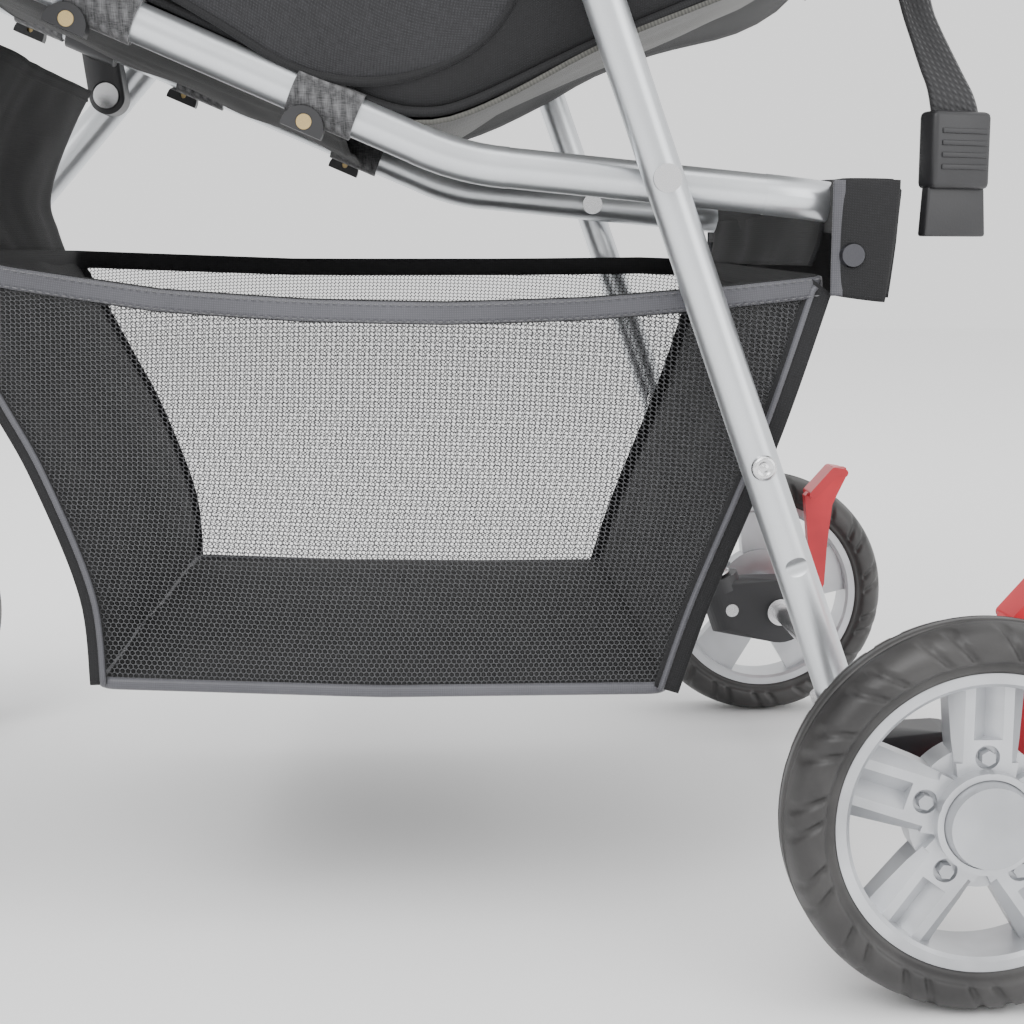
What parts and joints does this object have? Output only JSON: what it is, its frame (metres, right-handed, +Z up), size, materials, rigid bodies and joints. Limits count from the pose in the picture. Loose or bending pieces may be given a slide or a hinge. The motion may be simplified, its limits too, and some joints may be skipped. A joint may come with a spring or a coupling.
{
  "type": "pet stroller",
  "caption": "Folding pet stroller with tube A-frame, fabric cabin and canopy, mesh basket, swivel front casters, sprung rear wheels and brake pedals",
  "frame": {"origin": "centre of the bounding box on the ground", "axes": "+Z up, the stroller faces -Y, +X to its left as it drives"},
  "size_m": [0.4674, 0.8344, 0.9855],
  "materials": {
    "silver_tube": "satin silver-grey paint",
    "bright_metal": "plated",
    "foam": "matte foam",
    "black_plastic": "moulded, matte",
    "tray_plastic": "moulded, fine grain",
    "woven_strap": "coarse weave with pale flecks",
    "brass_screw": "plain",
    "cabin_fabric": "charcoal melange weave",
    "pad_fabric": "soft quilted",
    "canopy_fabric": "charcoal melange weave",
    "basket_mesh": "open hexagon mesh with grey satin binding",
    "black_fabric": "plain weave",
    "webbing": "ribbed webbing",
    "brake_red": "moulded red",
    "tyre": "matte EVA",
    "rim_silver": "silver paint",
    "cap_grey": "silver paint"
  },
  "bodies": {
    "front_frame": {"front_leg_left": "silver_tube", "front_leg_right": "silver_tube", "handle_tube": "silver_tube", "handle_grip": "foam", "leg_sleeves": "black_plastic", "front_crossbar": "silver_tube", "caster_housings": "black_plastic", "seat_pivot_pins": "bright_metal", "cup_tray": "tray_plastic"},
    "seat_frame": {"seat_tube": "silver_tube", "leg_clips": "black_plastic", "frame_rivets": "bright_metal", "woven_loops": "woven_strap", "strap_clips": "black_plastic", "clip_screws": "brass_screw", "cabin_shell": "cabin_fabric", "cabin_pad": "pad_fabric", "canopy": "canopy_fabric", "canopy_hubs": "black_plastic", "canopy_bow_rear": "black_plastic", "basket": "basket_mesh", "basket_front_panel": "black_fabric", "basket_flaps": "black_fabric", "flap_snaps": "bright_metal", "hang_strap": "webbing", "strap_buckle": "black_plastic"},
    "canopy_front": {"canopy_bow_front": "black_plastic"},
    "canopy_middle": {"canopy_bow_middle": "black_plastic"},
    "rear_frame": {"rear_leg_left": "silver_tube", "rear_leg_right": "silver_tube", "leg_rivets": "bright_metal", "leg_caps": "bright_metal"},
    "collar_left": {"slide_collar_left": "black_plastic", "collar_pin_left": "bright_metal"},
    "collar_right": {"slide_collar_right": "black_plastic", "collar_pin_right": "bright_metal"},
    "axle_unit": {"rear_bracket_left": "black_plastic", "rear_bracket_right": "black_plastic", "rear_axle": "bright_metal", "axle_washers": "bright_metal", "bracket_screws": "bright_metal", "rear_springs": "bright_metal"},
    "brake_left": {"brake_pedal_left": "brake_red"},
    "brake_right": {"brake_pedal_right": "brake_red"},
    "caster_left": {"caster_fork_left": "black_plastic", "front_axle_left": "bright_metal"},
    "caster_right": {"caster_fork_right": "black_plastic", "front_axle_right": "bright_metal"},
    "front_wheel_left": {"front_tyre_left": "tyre", "front_rim_left": "rim_silver"},
    "front_wheel_right": {"front_tyre_right": "tyre", "front_rim_right": "rim_silver"},
    "rear_wheel_left": {"rear_tyre_left": "tyre", "rear_rim_left": "rim_silver", "rear_cap_left": "cap_grey"},
    "rear_wheel_right": {"rear_tyre_right": "tyre", "rear_rim_right": "rim_silver", "rear_cap_right": "cap_grey"}
  },
  "joints": [
    {"name": "fold", "type": "hinge", "parent": "front_frame", "child": "seat_frame", "pos_m": [0, -0.18468, 0.37526], "axis": [1, 0, 0], "range_deg": [0, 53], "deforming": ["cabin_shell", "cabin_pad", "canopy", "basket", "basket_front_panel"]},
    {"name": "rear_leg_fold", "type": "hinge", "parent": "seat_frame", "child": "rear_frame", "pos_m": [0, 0.08825, 0.315], "axis": [1, 0, 0], "range_deg": [-106, 0]},
    {"name": "collar_left_turn", "type": "hinge", "parent": "rear_frame", "child": "collar_left", "pos_m": [0, -0.00574, 0.57822], "axis": [1, 0, 0], "range_deg": [0, 53]},
    {"name": "collar_right_turn", "type": "hinge", "parent": "rear_frame", "child": "collar_right", "pos_m": [0, -0.00574, 0.57822], "axis": [1, 0, 0], "range_deg": [0, 53]},
    {"name": "rear_suspension", "type": "slide", "parent": "rear_frame", "child": "axle_unit", "axis": [0, -0.3363, 0.9418], "range_m": [0, 0.005], "stiffness_N_per_m": 12000, "springref_m": -0.012, "deforming": ["rear_springs"]},
    {"name": "brake_left_press", "type": "hinge", "parent": "axle_unit", "child": "brake_left", "pos_m": [0, 0.20425, 0.076], "axis": [1, 0, 0], "range_deg": [-22, 0]},
    {"name": "brake_right_press", "type": "hinge", "parent": "axle_unit", "child": "brake_right", "pos_m": [0, 0.20425, 0.076], "axis": [1, 0, 0], "range_deg": [-22, 0]},
    {"name": "canopy_fold", "type": "hinge", "parent": "seat_frame", "child": "canopy_middle", "pos_m": [0, 0.01425, 0.64], "axis": [1, 0, 0], "range_deg": [-50, 0], "deforming": ["canopy"]},
    {"name": "canopy_front_fold", "type": "hinge", "parent": "canopy_middle", "child": "canopy_front", "pos_m": [0, 0.01425, 0.64], "axis": [1, 0, 0], "range_deg": [-35, 0]},
    {"name": "caster_left_swivel", "type": "hinge", "parent": "front_frame", "child": "caster_left", "pos_m": [-0.184, -0.37119, 0.165], "axis": [0, 0, 1], "continuous": true},
    {"name": "front_wheel_left_spin", "type": "hinge", "parent": "caster_left", "child": "front_wheel_left", "pos_m": [-0.184, -0.34119, 0.076], "axis": [1, 0, 0], "continuous": true},
    {"name": "rear_wheel_left_spin", "type": "hinge", "parent": "axle_unit", "child": "rear_wheel_left", "pos_m": [-0.215, 0.20425, 0.076], "axis": [1, 0, 0], "continuous": true},
    {"name": "caster_right_swivel", "type": "hinge", "parent": "front_frame", "child": "caster_right", "pos_m": [0.184, -0.37119, 0.165], "axis": [0, 0, 1], "continuous": true},
    {"name": "front_wheel_right_spin", "type": "hinge", "parent": "caster_right", "child": "front_wheel_right", "pos_m": [0.184, -0.34119, 0.076], "axis": [1, 0, 0], "continuous": true},
    {"name": "rear_wheel_right_spin", "type": "hinge", "parent": "axle_unit", "child": "rear_wheel_right", "pos_m": [0.215, 0.20425, 0.076], "axis": [1, 0, 0], "continuous": true}
  ],
  "couplings": [
    {"joint": "rear_leg_fold", "follows": "fold", "ratio": -2},
    {"joint": "collar_left_turn", "follows": "fold", "ratio": 1},
    {"joint": "collar_right_turn", "follows": "fold", "ratio": 1},
    {"joint": "canopy_front_fold", "follows": "canopy_fold", "ratio": 0.7}
  ]
}
